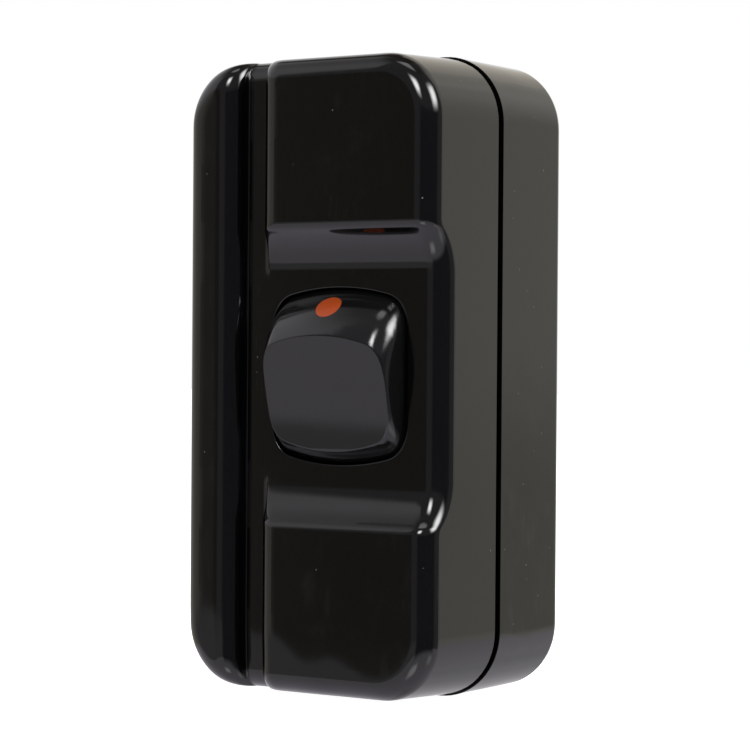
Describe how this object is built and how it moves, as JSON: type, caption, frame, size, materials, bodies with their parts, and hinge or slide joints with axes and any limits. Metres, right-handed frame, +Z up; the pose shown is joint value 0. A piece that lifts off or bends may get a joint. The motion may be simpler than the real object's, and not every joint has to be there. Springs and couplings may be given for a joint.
{
  "type": "inline cord switch",
  "caption": "Two-part moulded case with a rocker in a saddle between raised blocks, cord entry at each end, see-saw contact and terminals inside.",
  "frame": {"origin": "centre of the lower cord entry, on the parting plane of the two shells", "axes": "+Z up along the cord towards the upper entry, -Y out of the rocker's side, +X to the right seen from the front"},
  "size_m": [0.0368, 0.0307, 0.0766],
  "materials": {
    "black_shell": "glossy moulded black, faint flow marks",
    "rocker_grey": "satin face, glossy skirt, near black",
    "orange_mark": "orange inlay",
    "cradle_plastic": "pale moulded insulator",
    "clamp_plastic": "black moulded saddle",
    "nylon": "natural nylon",
    "brass": "pressed and drawn brass",
    "contact_silver": "silver contact face",
    "zinc_steel": "zinc plated steel"
  },
  "bodies": {
    "case": {"front_shell": "black_shell", "rear_shell": "black_shell", "switch_base": "cradle_plastic", "mechanism_screws": "zinc_steel", "common_bracket": "brass", "fixed_contact": "brass", "fixed_contact_tip": "contact_silver", "supply_terminal": "brass", "load_terminal": "brass", "neutral_connector": "brass", "earth_connector": "brass", "terminal_screws": "brass", "lower_cord_clamp": "clamp_plastic", "upper_cord_clamp": "clamp_plastic", "cord_clamp_screws": "zinc_steel", "case_screws": "zinc_steel", "case_inserts": "brass"},
    "rocker": {"rocker": "rocker_grey", "on_indicator_dot": "orange_mark", "plunger": "nylon", "plunger_spring": "zinc_steel"},
    "seesaw": {"moving_contact": "brass", "moving_contact_tip": "contact_silver"}
  },
  "joints": [
    {"name": "rocker_tilt", "type": "hinge", "parent": "case", "child": "rocker", "pos_m": [0.0032, -0.00525, 0.038], "axis": [1, 0, 0], "range_deg": [-25, 0]},
    {"name": "seesaw_tilt", "type": "hinge", "parent": "case", "child": "seesaw", "pos_m": [0.0032, 0.0026, 0.038], "axis": [1, 0, 0], "range_deg": [0, 22]}
  ],
  "couplings": [
    {"joint": "seesaw_tilt", "follows": "rocker_tilt", "ratio": -0.48}
  ]
}
